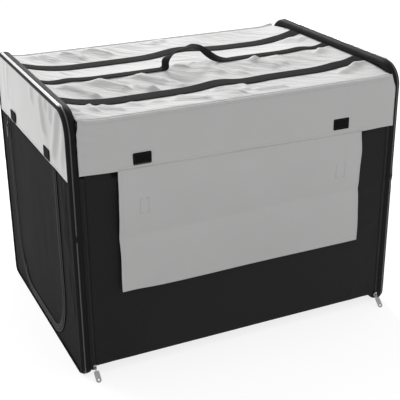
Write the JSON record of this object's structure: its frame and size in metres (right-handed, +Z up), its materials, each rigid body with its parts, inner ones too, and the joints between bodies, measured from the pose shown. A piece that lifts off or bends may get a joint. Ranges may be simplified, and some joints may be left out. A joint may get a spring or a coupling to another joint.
{
  "type": "pet travel crate",
  "caption": "Folding fabric pet crate on a tube frame, with folding legs, a zipped end door, a covered net window, webbing straps and a carry handle.",
  "frame": {"origin": "on the floor below the middle of the crate", "axes": "+X from the door's end to the closed end, +Y from the window's side to the rear, +Z up"},
  "size_m": [0.705, 0.5512, 0.5606],
  "materials": {
    "frame_tube": "dark enamelled steel tube",
    "bright_metal": "nickelled, satin",
    "black_cloth": "coated plain weave, black",
    "pale_cloth": "coated plain weave, pale grey",
    "net": "fine black net",
    "webbing": "woven webbing, charcoal",
    "hook_and_loop": "hook and loop tape, black",
    "zip_tape": "coil zip on woven tape, grey",
    "floor_stiffener": "fibreboard, grey"
  },
  "bodies": {
    "base": {"base_hoop_left": "frame_tube", "base_hoop_right": "frame_tube", "base_rail_front": "frame_tube", "base_rail_rear": "frame_tube", "left_base_sleeve": "black_cloth", "right_base_sleeve": "black_cloth", "left_front_leg_sleeve": "black_cloth", "left_rear_leg_sleeve": "black_cloth", "right_front_leg_sleeve": "black_cloth", "right_rear_leg_sleeve": "black_cloth", "front_wall": "black_cloth", "rear_wall": "black_cloth", "front_band": "pale_cloth", "rear_band": "pale_cloth", "window_net": "net", "left_end_panel": "black_cloth", "right_end_panel": "black_cloth", "left_end_band": "pale_cloth", "right_end_band": "pale_cloth", "door_zip": "zip_tape", "front_left_zip": "zip_tape", "front_right_zip": "zip_tape", "rear_left_zip": "zip_tape", "rear_right_zip": "zip_tape", "floor_cloth": "black_cloth", "floor_board": "floor_stiffener"},
    "left_lower_legs": {"left_front_lower_leg": "frame_tube", "left_rear_lower_leg": "frame_tube"},
    "left_upper_legs": {"left_front_upper_leg": "frame_tube", "left_rear_upper_leg": "frame_tube"},
    "top_frame": {"top_hoop_left": "frame_tube", "top_hoop_right": "frame_tube", "top_rail_front": "frame_tube", "top_rail_rear": "frame_tube", "left_top_sleeve": "black_cloth", "right_top_sleeve": "black_cloth", "roof_cloth": "pale_cloth", "front_roof_strap": "webbing", "rear_roof_strap": "webbing", "carry_handle_strap": "webbing"},
    "right_lower_legs": {"right_front_lower_leg": "frame_tube", "right_rear_lower_leg": "frame_tube"},
    "right_upper_legs": {"right_front_upper_leg": "frame_tube", "right_rear_upper_leg": "frame_tube"},
    "window_cover": {"window_flap": "pale_cloth"},
    "door": {"door_flap": "black_cloth"},
    "left_window_tab": {"window_tab_left": "hook_and_loop"},
    "right_window_tab": {"window_tab_right": "hook_and_loop"},
    "front_door_tab": {"door_tab_front": "hook_and_loop"},
    "rear_door_tab": {"door_tab_rear": "hook_and_loop"},
    "front_left_zip_slider": {"front_left_slider": "bright_metal"},
    "front_left_zip_pull": {"front_left_pull": "bright_metal"},
    "front_right_zip_slider": {"front_right_slider": "bright_metal"},
    "front_right_zip_pull": {"front_right_pull": "bright_metal"},
    "rear_left_zip_slider": {"rear_left_slider": "bright_metal"},
    "rear_left_zip_pull": {"rear_left_pull": "bright_metal"},
    "rear_right_zip_slider": {"rear_right_slider": "bright_metal"},
    "rear_right_zip_pull": {"rear_right_pull": "bright_metal"},
    "door_zip_slider": {"door_slider": "bright_metal"},
    "door_zip_pull": {"door_pull": "bright_metal"}
  },
  "joints": [
    {"name": "fold", "type": "hinge", "parent": "base", "child": "left_lower_legs", "pos_m": [-0.3372, 0, 0.064], "axis": [0, 1, 0], "range_deg": [0, 88], "deforming": ["front_wall", "rear_wall", "front_band", "rear_band", "window_net", "left_end_panel", "right_end_panel", "left_end_band", "right_end_band", "door_zip", "front_left_zip", "front_right_zip", "rear_left_zip", "rear_right_zip", "left_front_leg_sleeve", "left_rear_leg_sleeve", "right_front_leg_sleeve", "right_rear_leg_sleeve"]},
    {"name": "left_knuckle", "type": "hinge", "parent": "left_lower_legs", "child": "left_upper_legs", "pos_m": [-0.344, 0, 0.27], "axis": [0, 1, 0], "range_deg": [-176, 0]},
    {"name": "top_level", "type": "hinge", "parent": "left_upper_legs", "child": "top_frame", "pos_m": [-0.3372, 0, 0.476], "axis": [0, 1, 0], "range_deg": [0, 88]},
    {"name": "right_fold", "type": "hinge", "parent": "base", "child": "right_lower_legs", "pos_m": [0.3372, 0, 0.064], "axis": [0, 1, 0], "range_deg": [-88, 0]},
    {"name": "right_knuckle", "type": "hinge", "parent": "right_lower_legs", "child": "right_upper_legs", "pos_m": [0.344, 0, 0.27], "axis": [0, 1, 0], "range_deg": [0, 176]},
    {"name": "window_cover_lift", "type": "hinge", "parent": "base", "child": "window_cover", "pos_m": [0, -0.2509, 0.4119], "axis": [1, 0, 0], "range_deg": [-120, 0]},
    {"name": "door_lift", "type": "hinge", "parent": "base", "child": "door", "pos_m": [-0.3511, 0.0135, 0.4038], "axis": [0, -1, 0], "range_deg": [-120, 0]},
    {"name": "left_window_tab_lift", "type": "hinge", "parent": "base", "child": "left_window_tab", "pos_m": [-0.212, -0.2493, 0.4465], "axis": [1, 0, 0], "range_deg": [-100, 0]},
    {"name": "right_window_tab_lift", "type": "hinge", "parent": "base", "child": "right_window_tab", "pos_m": [0.212, -0.2493, 0.4465], "axis": [1, 0, 0], "range_deg": [-100, 0]},
    {"name": "front_door_tab_lift", "type": "hinge", "parent": "base", "child": "front_door_tab", "pos_m": [-0.3493, -0.108, 0.43075], "axis": [0, -1, 0], "range_deg": [-100, 0]},
    {"name": "rear_door_tab_lift", "type": "hinge", "parent": "base", "child": "rear_door_tab", "pos_m": [-0.3493, 0.135, 0.43075], "axis": [0, -1, 0], "range_deg": [-100, 0]},
    {"name": "front_left_zip_run", "type": "slide", "parent": "base", "child": "front_left_zip_slider", "axis": [0, 0, -1], "range_m": [-0.454, 0]},
    {"name": "front_left_pull_swing", "type": "hinge", "parent": "front_left_zip_slider", "child": "front_left_zip_pull", "pos_m": [-0.326, -0.2546, 0.0198], "axis": [1, 0, 0], "range_deg": [-102, 47]},
    {"name": "front_right_zip_run", "type": "slide", "parent": "base", "child": "front_right_zip_slider", "axis": [0, 0, -1], "range_m": [-0.454, 0]},
    {"name": "front_right_pull_swing", "type": "hinge", "parent": "front_right_zip_slider", "child": "front_right_zip_pull", "pos_m": [0.326, -0.2546, 0.0198], "axis": [1, 0, 0], "range_deg": [-102, 47]},
    {"name": "rear_left_zip_run", "type": "slide", "parent": "base", "child": "rear_left_zip_slider", "axis": [0, 0, -1], "range_m": [-0.374, 0.066]},
    {"name": "rear_left_pull_swing", "type": "hinge", "parent": "rear_left_zip_slider", "child": "rear_left_zip_pull", "pos_m": [-0.326, 0.2546, 0.1], "axis": [-1, 0, 0], "range_deg": [-150, 0]},
    {"name": "rear_right_zip_run", "type": "slide", "parent": "base", "child": "rear_right_zip_slider", "axis": [0, 0, -1], "range_m": [-0.454, 0]},
    {"name": "rear_right_pull_swing", "type": "hinge", "parent": "rear_right_zip_slider", "child": "rear_right_zip_pull", "pos_m": [0.326, 0.2546, 0.0198], "axis": [-1, 0, 0], "range_deg": [-102, 47]},
    {"name": "door_zip_run", "type": "slide", "parent": "base", "child": "door_zip_slider", "axis": [0, 0, 1], "range_m": [-0.23, 0]},
    {"name": "door_pull_swing", "type": "hinge", "parent": "door_zip_slider", "child": "door_zip_pull", "pos_m": [-0.3546, 0.18015, 0.3878], "axis": [0, -1, 0], "range_deg": [-150, 0]}
  ],
  "couplings": [
    {"joint": "left_knuckle", "follows": "fold", "ratio": -2},
    {"joint": "top_level", "follows": "fold", "ratio": 1},
    {"joint": "right_fold", "follows": "fold", "ratio": -1},
    {"joint": "right_knuckle", "follows": "fold", "ratio": 2}
  ]
}
